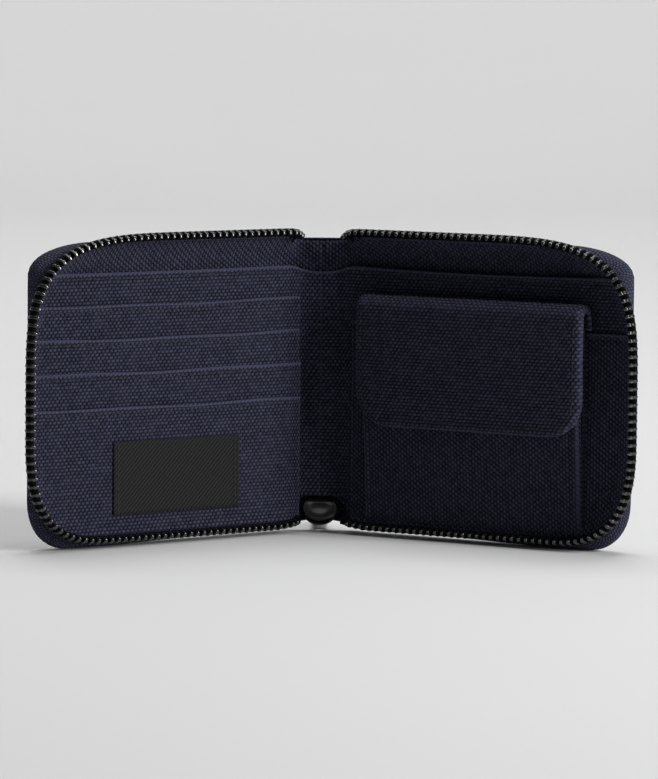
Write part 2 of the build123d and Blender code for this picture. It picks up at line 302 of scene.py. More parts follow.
UPPER_STATION = rim_index(RIM_FORE - 7.2, RIM_TOP - 9.0)    # where the top ends and the fore edge begins
LOWER_STATION = rim_index(RIM_FORE - 5.3, RIM_LOW + 8.6)    # where the fore edge ends and the foot begins


def cover_outline():
    """The cover seen square on, from the top of the fold round to its foot, as top, fore and bottom lines."""
    top = corner(WIDE - 24, TOP - 10, 24, 10, 2.2, 0, 90)
    low = corner(WIDE - 14, COVER_LOW[2] + 15.5, 14, 15.5, 2.1, 90, 180)
    slope = [(68, COVER_LOW[2]), (0, COVER_LOW[2] + 2.0)]      # the lower edge rises a little to the fold
    line = resample(distinct([[(0, TOP)], top, low, slope]), 700)
    first = np.argmin(np.abs(line - top[15]).sum(1))
    last = np.argmin(np.abs(line - low[12]).sum(1))
    return line[:first + 1], line[first:last + 1], line[last:]


def coons(top, bottom, near, far):
    """Grid of points between four lines: top and bottom run outwards, near and far run downwards."""
    nu, nv = len(top), len(near)
    s = np.linspace(0, 1, nu)[None, :, None]
    t = np.linspace(0, 1, nv)[:, None, None]
    ruled = (1 - t) * top[None] + t * bottom[None]
    across = (1 - s) * near[:, None] + s * far[:, None]
    upper = (1 - s) * (1 - t) * top[0] + s * (1 - t) * top[-1]
    lower = (1 - s) * t * bottom[0] + s * t * bottom[-1]
    return ruled + across - (upper + lower)


# ---------------------------------------------------------------- materials

class Nodes:
    """Short hand for building a node tree."""

    def __init__(self, name):
        self.material = bpy.data.materials.new(name)
        self.material.use_nodes = True
        self.tree = self.material.node_tree
        self.shader = self.tree.nodes["Principled BSDF"]

    def add(self, kind, **settings):
        node = self.tree.nodes.new(kind)
        for key, value in settings.items():
            setattr(node, key, value)
        return node

    def link(self, source, target):
        self.tree.links.new(source, target)

    def put(self, socket, value):
        if isinstance(value, bpy.types.NodeSocket):
            self.link(value, socket)
        else:
            socket.default_value = value

    def math(self, operation, *values, clamp=False):
        node = self.add("ShaderNodeMath", operation=operation, use_clamp=clamp)
        for socket, value in zip(node.inputs, values):
            self.put(socket, value)
        return node.outputs[0]

    def plus(self, a, b, clamp=False):
        return self.math("ADD", a, b, clamp=clamp)

    def minus(self, a, b):
        return self.math("SUBTRACT", a, b)

    def times(self, a, b, clamp=False):
        return self.math("MULTIPLY", a, b, clamp=clamp)

    def swing(self, value, amount):
        """A value between 0 and 1 as a swing about zero."""
        return self.times(self.minus(value, 0.5), amount)

    def mix(self, factor, a, b):
        """A blend of two colours, each given as a socket or as red, green and blue."""
        node = self.add("ShaderNodeMix", data_type="RGBA")
        self.put(node.inputs[0], factor)
        for socket, colour in ((node.inputs[6], a), (node.inputs[7], b)):
            self.put(socket, colour if isinstance(colour, bpy.types.NodeSocket) else (*colour, 1))
        return node.outputs[2]

    def ramp(self, value, low, high):
        node = self.add("ShaderNodeMapRange")
        self.put(node.inputs[0], value)
        self.put(node.inputs[1], low)
        self.put(node.inputs[2], high)
        return node.outputs[0]

    def noise(self, vector, scale, detail=2.0, roughness=0.5):
        node = self.add("ShaderNodeTexNoise")
        self.link(vector, node.inputs["Vector"])
        node.inputs["Scale"].default_value = scale
        node.inputs["Detail"].default_value = detail
        node.inputs["Roughness"].default_value = roughness
        return node.outputs[0]

    def bump(self, height, distance, strength=1.0):
        node = self.add("ShaderNodeBump")
        node.inputs["Distance"].default_value = distance * MM
        node.inputs["Strength"].default_value = strength
        self.link(height, node.inputs["Height"])
        self.link(node.outputs[0], self.shader.inputs["Normal"])

    def paint(self, colour, **values):
        """Links the colour, and sets the shader's other sockets; an underscore stands for a space."""
        self.link(colour, self.shader.inputs["Base Color"])
        for name, value in values.items():
            self.shader.inputs[name.replace("_", " ")].default_value = value
        return self.material


def cloth_coordinates(k, rotate=0.0):
    """The cloth's own x and y, in mm, turned by an angle."""
    uv = k.add("ShaderNodeUVMap", uv_map="cloth").outputs[0]
    mapping = k.add("ShaderNodeMapping")
    k.link(uv, mapping.inputs[0])
    mapping.inputs["Rotation"].default_value = (0, 0, rotate)
    parts = k.add("ShaderNodeSeparateXYZ")
    k.link(mapping.outputs[0], parts.inputs[0])
    return mapping.outputs[0], parts.outputs[0], parts.outputs[1]


def canvas_material(name, dark, light, rotate=0.0, pitch=1.56, row=1.07):
    """Coarse canvas: rows of plump threads set like bricks, with dark gaps, uneven yarns and pale fibres."""
    k = Nodes(name)
    place, x, y = cloth_coordinates(k, rotate)
    wander = k.swing(k.noise(place, 0.35, 2.0), 0.55)
    drift = k.swing(k.noise(place, 0.27, 1.0), 0.35)
    ys = k.math("DIVIDE", k.plus(y, drift), row)
    line = k.math("FLOOR", ys)
    shift = k.times(k.math("FLOORED_MODULO", line, 2.0), 0.5)
    xs = k.plus(k.math("DIVIDE", k.plus(x, wander), pitch), shift)
    column = k.math("FLOOR", xs)
    fx = k.minus(k.minus(xs, column), 0.5)
    fy = k.minus(k.minus(ys, line), 0.5)
    cell = k.add("ShaderNodeCombineXYZ")
    k.link(column, cell.inputs[0])
    k.link(line, cell.inputs[1])
    chance = k.add("ShaderNodeTexWhiteNoise", noise_dimensions="2D")
    k.link(cell.outputs[0], chance.inputs["Vector"])
    slant = k.minus(fy, k.times(fx, 0.16))
    round_x = k.math("COSINE", k.times(fx, pi))
    round_y = k.math("POWER", k.math("MAXIMUM", k.math("COSINE", k.times(slant, pi)), 0.0), 0.75)
    height = k.times(round_x, round_y)
    fibre = k.noise(place, 6.0, 2.0, 0.6)
    cloud = k.noise(place, 0.06, 3.0)
    shade = k.minus(k.times(height, 0.95), 0.08)
    shade = k.plus(shade, k.swing(chance.outputs[0], 0.30))
    shade = k.plus(shade, k.swing(fibre, 0.70))
    shade = k.plus(shade, k.swing(cloud, 0.16), clamp=True)
    # This attribute lightens the cloth: partly real wear on folded edges, partly painted light on lit edges,
    # folds and the upper edge wall.
    wear_and_painted_light = k.add("ShaderNodeAttribute", attribute_name="wear_and_painted_light").outputs["Fac"]
    shade = k.plus(shade, k.times(wear_and_painted_light, k.plus(0.1, k.times(fibre, 0.75))))
    tinge = k.times(k.noise(place, 0.19, 3.0), 0.9, clamp=True)
    warm = (light[0] * 1.08, light[1] * 0.97, light[2] * 0.93)
    colour = k.mix(shade, dark, k.mix(tinge, light, warm))
    fleck = k.ramp(k.noise(place, 2.3, 1.0, 0.5), 0.72, 0.80)
    pale = tuple(min(1, c * 2.0 + 0.02) for c in light)
    colour = k.mix(k.times(fleck, k.times(height, 0.45)), colour, pale)
    k.bump(k.plus(height, k.times(fibre, 0.3)), 0.42)
    return k.paint(colour, Roughness=0.92, Specular_IOR_Level=0.06, Sheen_Weight=0.12,
                   Sheen_Roughness=0.5, Sheen_Tint=(0.5, 0.52, 0.75, 1))


def tape_material():
    """Black zip tape, a fine herringbone."""
    k = Nodes("zip_tape_cloth")
    place, x, y = cloth_coordinates(k)
    zigzag = k.math("PINGPONG", x, 1.1)
    ribs = k.math("SINE", k.times(k.plus(y, k.times(zigzag, 0.8)), 2 * pi / 0.42))
    shade = k.plus(k.times(ribs, 0.25), k.times(k.noise(place, 4.0, 2.0), 0.9), clamp=True)
    colour = k.mix(shade, (0.0005, 0.0005, 0.0007), (0.0028, 0.0028, 0.0036))
    k.bump(ribs, 0.05)
    return k.paint(colour, Roughness=0.85, Specular_IOR_Level=0.05, Sheen_Weight=0.01)


def label_material():
    """Black satin twill with a fine diagonal rib."""
    k = Nodes("label_twill")
    place, x, y = cloth_coordinates(k)
    ribs = k.math("SINE", k.times(k.plus(x, y), 2 * pi / 1.5))
    fine = k.math("SINE", k.times(x, 2 * pi / 0.35))
    shade = k.plus(0.5, k.plus(k.times(ribs, 0.42), k.times(fine, 0.16)))
    shade = k.plus(shade, k.swing(k.noise(place, 2.0, 3.0), 0.8), clamp=True)
    colour = k.mix(shade, (0.0012, 0.0012, 0.0014), (0.0175, 0.0175, 0.0185))
    k.bump(ribs, 0.06)
    return k.paint(colour, Roughness=0.75, Specular_IOR_Level=0.12, Sheen_Weight=0.04)


def metal_material(name, colour, roughness, grain):
    """Bare metal with small casting marks and paler worn spots."""
    k = Nodes(name)
    where = k.add("ShaderNodeTexCoord").outputs["Object"]
    wear_and_painted_light = k.ramp(k.noise(where, 900.0, 3.0), 0.62, 0.75)
    pale = tuple(min(1.0, 3.0 * c + 0.02) for c in colour)
    k.link(k.ramp(k.noise(where, 500.0, 2.0), -roughness, 1.6 - roughness), k.shader.inputs["Roughness"])
    k.bump(k.noise(where, grain, 2.0), 0.03)
    return k.paint(k.mix(k.times(wear_and_painted_light, 0.5), colour, pale), Metallic=0.85, Specular_IOR_Level=0.6,
                   Coat_Weight=0.35, Coat_Roughness=0.12)


def lacquer_material(name, colour, rough, scale, coat, gloss, polished=False):
    """Blackened metal under a thin lacquer, with fine scuffs; polished heads keep the whole coat."""
    k = Nodes(name)
    place = k.add("ShaderNodeTexCoord").outputs["Object"]
    scuff = k.noise(place, scale, 3.0, 0.6)
    k.link(k.plus(0.4, k.times(scuff, 0.2)), k.shader.inputs["Roughness"])
    k.bump(scuff, 0.02)
    if polished:
        dull = k.add("ShaderNodeAttribute", attribute_name="dull").outputs["Fac"]
        k.link(k.minus(coat, dull), k.shader.inputs["Coat Weight"])
    mottled = k.mix(scuff, [c * 0.6 for c in colour], [c * 1.5 for c in colour])
    return k.paint(mottled, Coat_Weight=coat, Coat_Roughness=rough, Coat_IOR=gloss, Specular_IOR_Level=0.15)


def plain_material(name, colour, roughness, scale=300.0):
    """One colour, a little cloudy."""
    k = Nodes(name)
    cloud = k.noise(k.add("ShaderNodeTexCoord").outputs["Object"], scale, 4.0, 0.6)
    k.bump(cloud, 0.04)
    return k.paint(k.mix(cloud, [0.8 * c for c in colour], [1.2 * c for c in colour]), Roughness=roughness)


NAVY_DARK, NAVY_LIGHT = (0.0022, 0.0026, 0.0062), (0.0455, 0.0495, 0.0840)
CANVAS = canvas_material("canvas", NAVY_DARK, NAVY_LIGHT)
CANVAS_TURNED = canvas_material("canvas_turned", NAVY_DARK, NAVY_LIGHT, rotate=pi / 2)
TAPE_CLOTH = tape_material()
TEETH_METAL = lacquer_material("teeth_metal", (0.0035, 0.0037, 0.004), 0.08, 1500.0, 1.0, 1.75, True)
SLIDER_METAL = lacquer_material("slider_metal", (0.0042, 0.0046, 0.005), 0.15, 900.0, 0.22, 1.5)
# The thread's own dark navy, darkened further as painted shade for the seam groove.
THREAD_WITH_PAINTED_SHADE = plain_material("thread", (0.0065, 0.0070, 0.0135), 0.75, 2500.0)
BLACK_THREAD = plain_material("black_thread", (0.006, 0.006, 0.008), 0.7, 2500.0)
BOARD = plain_material("board", (0.10, 0.10, 0.105), 0.8)
STEEL = metal_material("magnet_steel", (0.45, 0.45, 0.47), 0.4, 700.0)


# ---------------------------------------------------------------- cover

N_OUT, N_DOWN = 58, 40      # stations along the top or bottom, and down the fore edge
SPINE_STATIONS = 11         # across half of the spine


def spine_run(z):
    """Stations across the half of the spine that belongs to this side."""
    u = np.linspace(-FOLD_X, 0, SPINE_STATIONS + 1)[:-1]
    return np.stack([u, np.full_like(u, z)], -1)


def cover_stations():
    """Outline stations from the middle of the spine round the half and back."""
    top, fore, low = cover_outline()
    top = np.vstack([spine_run(SPINE_TOP), resample(top, N_OUT)])
    low = np.vstack([resample(low, N_OUT), spine_run(SPINE_LOW)[::-1]])
    line = np.vstack([top, resample(fore, N_DOWN)[1:-1], low])
    u = line[:, 0]
    notch = smooth((-u - 3.4) / 1.6) * 0.3
    share = smooth((u + 3.0) / 6.0)
    spine = np.where(line[:, 1] < 50, SPINE_LOW + notch, SPINE_TOP)
    line[:, 1] = line[:, 1] * share + spine * (1 - share)
    return line


def rim_stations(line):
    """The points of the line of teeth that go with the cover's stations."""
    u = line[:, 0]
    on = u >= 0
    run = lengths(line[on])
    first, left_over = 1.3, 7.0     # the first point's distance along the row, and what both ends leave out
    at = run / run[-1] * (RIM_RUN[-1] - left_over) + first
    out = line.copy()
    out[on] = along_line(at, RIM_RUN, RIM)
    return out


def fold_share(u, start=0.5, end=8.0):
    """How far the edge wall stands up at u: nothing on the spine, all of it past the fold."""
    return smooth((np.asarray(u) - start) / (end - start))


COVER_PROFILE = (   # inset, depth and share of the way out to the line of teeth
    (5.5, -2.2, 0), (3.6, -2.15, 0), (2.1, -1.8, 0), (1.0, -1.1, 0), (0.35, -0.2, 0), (0.05, 0.9, 0.02),
    (0.0, 2.1, 0.06), (0.0, 3.2, 0.16), (0.1, 4.3, 0.32), (0.3, 5.2, 0.5), (0.6, 6.0, 0.66),
    (1.0, 6.5, 0.76), (1.4, 6.5, 0.78), (1.6, 6.0, 0.72), (1.7, 5.2, 0.58),
)


def cover_ring(line, rim, out, inset, depth, share):
    """One step of the profile round the edge: the wall shrinks away on the spine."""
    stand = fold_share(line[:, 0])
    place = line + (rim - line) * (share * stand)[:, None] - out * (inset * (0.2 + 0.8 * stand))[:, None]
    return place[:, 0], BACK + (depth - BACK) * (0.1 + 0.9 * stand), place[:, 1]


def make_cover(half):
    """The outer canvas: the flat back, the wall round the edge, and this half of the spine."""
    line = cover_stations()
    rim, out = rim_stations(line), outward(line)
    columns = N_OUT + SPINE_STATIONS
    rings = [cover_ring(line, rim, out, *step) for step in COVER_PROFILE]
    u0, d0, z0 = rings[0]
    inner = np.stack([u0, z0], -1)
    total = len(u0)
    near = np.linspace(inner[0], inner[-1], N_DOWN)
    grid = coons(inner[:columns], inner[-columns:][::-1], near, inner[columns - 1:columns - 1 + N_DOWN])
    gu, gz = grid[..., 0], grid[..., 1]
    swell = unit(rim_distance(gu, gz) / 30.0) * smooth(gu / 20.0)
    gd = np.minimum(d0.min(), BACK) - 0.35 * swell + 0.1 * np.sin(gu / 13.0 + gz / 21.0) * swell
    verts = [half.world(gu, gd, gz).reshape(-1, 3)]
    uvs = [grid.reshape(-1, 2)]
    faces = grid_faces(N_DOWN, columns)
    loop = list(range(columns))
    loop += [r * columns + columns - 1 for r in range(1, N_DOWN - 1)]
    loop += [(N_DOWN - 1) * columns + c for c in range(columns - 1, -1, -1)]
    previous, base = loop, len(verts[0])
    along = uvs[0][loop]
    length, last = np.zeros(total), np.stack(rings[0], -1)
    for ring in rings[1:]:
        now = np.stack(ring, -1)
        length = length + np.linalg.norm(now - last, axis=1)
        last = now
        verts.append(half.world(*ring))
        uvs.append(along + out * length[:, None])
        current = list(range(base, base + total))
        faces += [(previous[i], previous[i + 1], current[i + 1], current[i]) for i in range(total - 1)]
        previous = current
        base += total
    uv = np.concatenate(uvs)
    uv[:, 0] = half.cloth(uv[:, 0])
    name = f"{half.side}_outer_canvas"
    obj = make_object(name, np.concatenate(verts), faces, CANVAS, uv, flip=half.sign > 0)
    height = np.concatenate([gz.reshape(-1)] + [line[:, 1]] * (len(rings) - 1))
    wall = np.concatenate([np.zeros(gz.size), np.repeat(np.arange(1, len(rings)) / len(rings), total)])
    # Painted light: the upper part of the edge wall is painted lighter, as where the light from above falls
    # on it.
    add_wear_and_painted_light(obj, 0.30 * smooth((height - 55) / 30.0) * smooth((wall - 0.2) / 0.2))
    thicken(obj, 0.5)
    replaced = [f"{half.side}_outer_cover"]
    if half.side == "left":
        replaced.append("spine_outer_cover")
    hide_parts(*replaced)
    half.blend(obj)


def make_board(half):
    """The stiff board between the cover and the lining."""
    top, fore, low = cover_outline()
    line = np.vstack([top, fore[1:-1], low])
    line = line[line[:, 0] > 3.0]
    inset = 3.0
    inner = line - outward(line) * inset
    centre = np.array([50.0, 47.0])
    rings = [centre + (inner - centre) * t for t in (1.0, 0.6, 0.0)]
    uv = np.stack(rings)
    points = half.world(uv[..., 0], -1.1, uv[..., 1])
    obj = grid_object(f"{half.side}_board", points, uv, BOARD, flip=half.sign > 0)
    thicken(obj, 0.9, 0.0)
    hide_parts(f"{half.side}_cover_board")
    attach(obj, half.body)


def rim_window(first_u, last_u, count=200):
    """Stations of the line of teeth with their outward normals, from first_u on top to last_u below."""
    half_way = len(RIM) // 2
    start = np.interp(first_u, RIM[:half_way, 0], RIM_RUN[:half_way])
    place = along_line(np.linspace(start, foot_run(last_u), count), RIM_RUN, RIM)
    return place, outward(place)


def foot_run(u):
    """Distance along the line of teeth at which it comes back to u along the foot."""
    half_way = len(RIM) // 2
    return float(np.interp(-u, -RIM[half_way:, 0], RIM_RUN[half_way:]))


TAPE_CORD = (     # inset and depth round the thick edge that carries the teeth
    (1.1, 6.7), (1.3, 7.4), (1.15, 8.1), (0.6, 8.4), (-0.15, 8.35), (-0.6, 7.95),
    (-0.72, 7.4), (-0.5, 6.8), (0.0, 6.5),
)


def tape_strip(name, half, place, out, profile):
    """A strip of tape along some of the line of teeth, through (inset, depth) steps."""
    rings = [place - out * inset for inset, depth in profile]
    points = np.stack([half.world(r[:, 0], depth, r[:, 1]) for r, (inset, depth) in zip(rings, profile)])
    flat = points / MM
    along = lengths(flat[-1])
    across = lengths(flat[:, len(along) // 2])
    uv = np.stack(np.meshgrid(along, across), -1)
    obj = grid_object(name, points, uv, TAPE_CLOTH, flip=half.sign > 0)
    thicken(obj, 0.5, 0.0)
    return obj


def make_tape(half):
    """The woven tape stands between the cover and the linings and shows just under the teeth."""
    profile = ((3.0, 3.4), (2.0, 4.8), (1.3, 6.0), *TAPE_CORD)
    obj = tape_strip(f"{half.side}_tape", half, *rim_window(1.0, FOOT_U), profile)
    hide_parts(f"{half.side}_zip_tape")
    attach(obj, half.body)


def make_tape_end(half):
    """The last of the tape, from the half's foot to the slider."""
    place, out = rim_window(1.0, -1.2, 400)
    near = np.arange(len(place)) >= len(place) - 40
    near &= place[:, 0] < 10.6
    profile = ((1.6, 5.4), (1.3, 6.0), *TAPE_CORD)
    obj = tape_strip(f"{half.side}_tape_foot", half, place[near], out[near], profile)
    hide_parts(f"{half.side}_tape_end")
    return obj


# ---------------------------------------------------------------- zip teeth

def tooth_mesh():
    """One tooth in its own frame: x along the row, y outwards, z towards the tip, in mm."""
    rings = (   # height, half length along the row, inner edge, outer edge
        (-1.7, 0.30, -0.95, 0.95), (-1.5, 0.58, -1.25, 1.2), (-0.3, 0.70, -1.45, 1.35),
        (0.5, 0.74, -1.48, 1.15), (0.8, 0.64, -1.48, 0.95), (1.1, 0.62, -1.47, 0.72),
        (1.5, 0.61, -1.45, 0.40), (1.72, 0.59, -1.42, 0.22), (1.86, 0.52, -1.36, 0.12),
        (1.94, 0.38, -1.28, 0.02), (1.97, 0.18, -1.12, -0.15),
    )
    steps = 16
    verts = []
    for height, half_along, inner, outer in rings:
        for i in range(steps):
            a = 2 * pi * (i + 0.5) / steps
            ca, sa = cos(a), sin(a)
            x = half_along * abs(ca) ** 0.5 * (1 if ca > 0 else -1)
            y = (outer if sa > 0 else -inner) * abs(sa) ** 0.6 * (1 if sa > 0 else -1)
            dip = 0.45 * bell(y - 0.55, 0.3) * max(0.0, height)
            waist = 1 - 0.25 * bell(y - 0.5, 0.35)
            verts.append((x * waist, 0.9 * y, height - 0.4 * dip - 0.12 * max(0.0, y + 0.6)))
    return np.array(verts), tube_faces(len(rings), steps)


def scatter(name, template, places, material):
    """One mesh of many copies of a template, each at an (origin, x, y, z); dull marks all but their heads."""
    points, faces = template
    verts, out = [], []
    for i, (origin, ax, ay, az) in enumerate(places):
        world = origin + points[:, :1] * ax + points[:, 1:2] * ay + points[:, 2:] * az
        verts.append(world * MM)
        base = i * len(points)
        out += [tuple(base + v for v in f) for f in faces]
    obj = make_object(name, np.concatenate(verts), out, material)
    dull = obj.data.attributes.new("dull", "FLOAT", "POINT")
    head = smooth((0.45 - points[:, 1]) / 0.5) * smooth((points[:, 2] - 0.6) / 0.6)
    dull.data.foreach_set("value", np.tile(0.62 * (1 - head), len(places)).astype(np.float32))
    return obj


def half_axes(half, du, dn, dz):
    """A direction of the half frame as a world direction."""
    c, s = cos(half.turn), sin(half.turn)
    return np.array([half.sign * (du * c - dn * s), -du * s - dn * c, dz])


def tooth_places(half, first, last):
    """Where the teeth stand between two distances along the row."""
    offset = 0.0 if half.side == "left" else PITCH / 2
    out = []
    s = first + (offset - first) % PITCH
    while s < last:
        u, z = along_line(s, RIM_RUN, RIM)
        nu, nz = along_line(s, RIM_RUN, RIM_OUT)
        along = half_axes(half, nz, 0, -nu)
        outwards = half_axes(half, nu, 0, nz)
        tip = half_axes(half, 0, 1, 0)
        lean = tip * 0.97 + outwards * 0.22
        lean /= np.linalg.norm(lean)
        across = np.cross(lean, along)
        if across @ outwards < 0:
            along, across = -along, -across
        out.append((half.world(u, TAPE_TOP + 0.2, z) / MM, along, across, lean))
        s += PITCH
    return out


ROW_START, STOP_START = 3.4, 0.6    # distances along the line of teeth


def make_teeth(half):
    """The row of teeth, its loose end by the slider, and the stop at its top."""
    foot, slider_end = foot_run(FOOT_U), foot_run(FOOT_LOW[0])
    row = scatter(f"{half.side}_teeth", tooth_mesh(), tooth_places(half, ROW_START, foot), TEETH_METAL)
    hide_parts(f"{half.side}_zip_teeth")
    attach(row, half.body)
    last = scatter(f"{half.side}_teeth_foot", tooth_mesh(), tooth_places(half, foot, slider_end), TEETH_METAL)
    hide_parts(f"{half.side}_teeth_end")
    origin, x, y, z = tooth_places(half, STOP_START, STOP_START + PITCH + 0.1)[0]
    stop = scatter(f"{half.side}_stop", tooth_mesh(), [(origin, 1.1 * x, 1.05 * y, 0.9 * z)], TEETH_METAL)
    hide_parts(f"{half.side}_top_stop")
    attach(stop, half.body)
    tape = make_tape_end(half)
    for obj in (last, tape):
        start, end = half.world(FOOT_U, 9.0, 3.0), half.world(0.5, 9.0, 3.0)
        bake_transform(obj)


# ---------------------------------------------------------------- inner sheets

def lift(u, z, base, reach=6.5):
    """Depth of an inner sheet: flat at base and curving up to the tape near the line of teeth."""
    t = unit(1 - (rim_distance(u, z) - 0.9) / reach)
    share = t ** 1.8 * smooth((np.asarray(u) + 1.0) / 5.0)
    return base + (LIFT_END - base) * share


def boundary(edge, u_start, inset):
    """Fore and bottom lines of a sheet whose mouth is at height edge."""
    line = rim_inset(inset)
    keep = RIM[LOWER_STATION:, 0] > max(u_start, 0.5)
    short_of_fore = line[:, 0] < 60
    first = np.argmin(np.abs(line[:, 1] - edge) + 1000 * short_of_fore)
    fore = line[first:LOWER_STATION + 1].copy()
    fore[0, 1] = edge
    bottom = line[LOWER_STATION:][keep]
    if bottom[-1, 0] > u_start + 0.2:
        bottom = np.vstack([bottom, [(u_start, bottom[-1, 1])]])
    return fore, bottom[::-1]


def well_grid(edge, u_start, inset, nu, nv, foot_line=None, edge_line=None):
    """Points of a sheet in the well, from its mouth down to the line of teeth."""
    fore, bottom = boundary(edge, u_start, inset)
    fore, bottom = resample(fore, nv), resample(bottom, nu)
    if foot_line is not None:
        bottom[:, 1] = foot_line(bottom[:, 0], bottom[:, 1])
    top = np.stack([np.linspace(u_start, fore[0, 0], nu), np.full(nu, edge)], -1)
    if edge_line is not None:
        top[:, 1] += edge_line(top[:, 0])
        fore[:, 1] += (top[-1, 1] - edge) * np.linspace(1, 0, nv) ** 2
    near = np.linspace(top[0], bottom[0], nv)
    return coons(top, bottom, near, fore)


ROLL = (    # over a pocket's mouth: up from the face, over and down behind; (in front, above)
    (0.10, -0.75), (0.16, -0.42), (0.08, -0.14), (-0.18, 0.04), (-0.5, 0.08), (-0.82, -0.06),
    (-1.0, -0.4), (-1.05, -1.2), (-1.05, -3.5), (-1.05, -7.0),
)
HEM = 1.95          # the seam's distance under the mouth


def pocket(name, half, grid, depth, material):
    """A pocket's sheet: the mouth is rolled over and sewn down in a shallow groove."""
    grid = grid[::-1]                      # from the foot up to the mouth
    top = grid[-1]
    rows = [grid[i] for i in range(len(grid)) if i == 0 or (top[:, 1] - grid[i][:, 1]).min() > 3.4]
    for below in (3.0, 2.5, 2.15, 1.95, 1.75, 1.4, 1.0):
        rows.append(top - (0, below))
    U = np.stack([r[:, 0] for r in rows])
    Z = np.stack([r[:, 1] for r in rows])
    D = depth(U, Z) - 0.34 * bell(top[None, :, 1] - Z - HEM, 0.42)
    # Painted highlight with some fold wear: a narrow band under the mouth is painted lighter.
    wear_and_painted_light = 0.28 * bell(top[None, :, 1] - Z, 0.8)
    V = Z.copy()
    run, last = 0.0, (0.0, -1.0)
    for front, above in ROLL:
        run += hypot(front - last[0], above - last[1])
        last = (front, above)
        U = np.vstack([U, top[:, 0]])
        Z = np.vstack([Z, top[:, 1] + above])
        V = np.vstack([V, top[:, 1] - 1.0 + run])
        D = np.vstack([D, depth(top[:, 0], top[:, 1] + min(above, 0.0)) + front])
        # The crest of the rolled mouth is painted much lighter: painted highlight where the light catches the
        # fold, with some fold wear.
        wear_and_painted_light = np.vstack([wear_and_painted_light, np.full(len(top), 1.5 if above > -0.5 else 0.2)])
    uv = np.stack([half.cloth(U), V], -1)
    obj = grid_object(name, half.world(U, D, Z), uv, material, flip=half.sign < 0)
    add_wear_and_painted_light(obj, wear_and_painted_light)
    thicken(obj, 0.45)
    return obj


# Stores the per-vertex lightening that the canvas reads: real fold wear together with painted light.
def add_wear_and_painted_light(obj, values):
    layer = obj.data.attributes.new("wear_and_painted_light", "FLOAT", "POINT")
    layer.data.foreach_set("value", np.asarray(values, np.float32).ravel())


def capsule(radius):
    """A short thread: x from -1 to 1 is scaled to the stitch's half length."""
    rings = ((-1.0, 0.3), (-0.85, 0.8), (-0.4, 1.0), (0.4, 1.0), (0.85, 0.8), (1.0, 0.3))
    steps = 6
    verts = []
    for x, r in rings:
        for i in range(steps):
            a = 2 * pi * i / steps
            sink = 0.1 * radius - 0.5 * radius * (x * x)
            verts.append((x, radius * r * cos(a), radius * r * sin(a) + sink))
    return np.array(verts), tube_faces(len(rings), steps)


def stitches(name, half, line, depth, material=THREAD_WITH_PAINTED_SHADE, pitch=2.7, gap=0.75, thread=0.2):
    """Thread loops along a line of (u, z) points on a sheet of the given depth."""
    run = lengths(line)
    places = []
    for i in range(int(run[-1] / pitch)):
        ends = []
        for at in (i * pitch, (i + 1) * pitch - gap):
            u, z = along_line(at, run, line)
            ends.append(half.world(u, float(depth(np.array(u), np.array(z))), z) / MM)
        a, b = ends
        size = np.linalg.norm(b - a)
        along = (b - a) / size
        across = np.cross(half_axes(half, 0, 1, 0), along)
        across /= np.linalg.norm(across)
        places.append(((a + b) / 2, along * size / 2, across, np.cross(along, across)))
    return scatter(name, capsule(thread), places, material)


def make_left_pockets():
    half = LEFT
    for i, edge in enumerate(CARD_EDGES):
        base = CARD_DEPTH + CARD_STEP * i
        start = -1.5 + 0.35 * sin(2.3 * i)

        def sag(u, i=i):
            return 0.18 * np.sin(u / 8.0 + 1.9 * i) - 0.45 * np.sin(pi * unit(u / 100))

        def depth(u, z, base=base, edge=edge, i=i):
            mouth = unit(1 - (edge - z) / 11.0) ** 1.5
            gape = 0.75 * np.sin(pi * unit((np.asarray(u) + 1) / 103)) ** 0.5
            ripple = 0.10 * np.sin(np.asarray(u) / 6.1 + 2.6 * i)
            return lift(u, z, base) + (gape + ripple) * mouth - 0.25 * (1 - mouth)

        grid = well_grid(edge, start, 1.0 + 0.05 * (3 - i), 96, 44, edge_line=sag)
        obj = pocket(f"card_pocket_{i + 1}_cloth", half, grid, depth, CANVAS)
        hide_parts(f"card_pocket_{i + 1}")
        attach(obj, half.body)
        hem = grid[0][3:-4] - (0, HEM)
        seam = stitches(f"card_pocket_{i + 1}_seam", half, hem, lambda u, z: depth(u, z) - 0.12)
        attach(seam, half.body)


def notes_foot(u, z):
    """Lower edge of the notes panel: cut away over the slider."""
    share = smooth((1.2 - u) / 1.8)
    return z + (NOTES_FOOT - z) * share


def make_notes_panel(half):
    """The long panel that runs over the spine, to the middle of the spine on this side."""
    left = half.side == "left"

    def sag(u):
        return -2.1 * smooth((4.0 - u) / 12.0) - (0.3 if left else 0.9) * np.sin(pi * unit(u / 100))

    def depth(u, z):
        spine = smooth((2.5 - np.asarray(u)) / 7.0)
        mouth = unit(1 - (PANEL_TOP - z) / 10.0)
        return lift(u, z, NOTES_DEPTH) - 0.5 * spine + mouth * (0.5 - 1.1 * spine)

    grid = well_grid(PANEL_TOP, -FOLD_X, 1.3, 116, 60, foot_line=notes_foot, edge_line=sag)
    obj = pocket(f"{half.side}_notes_cloth", half, grid, depth, CANVAS)
    replaced = [f"{half.side}_notes_panel"]
    if left:
        replaced.append("spine_notes_panel")
    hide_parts(*replaced)
    half.blend(obj)
    hem = grid[0][18:-4] - (0, HEM)
    seam = stitches(f"{half.side}_notes_seam", half, hem, lambda u, z: depth(u, z) - 0.12)
    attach(seam, half.body)


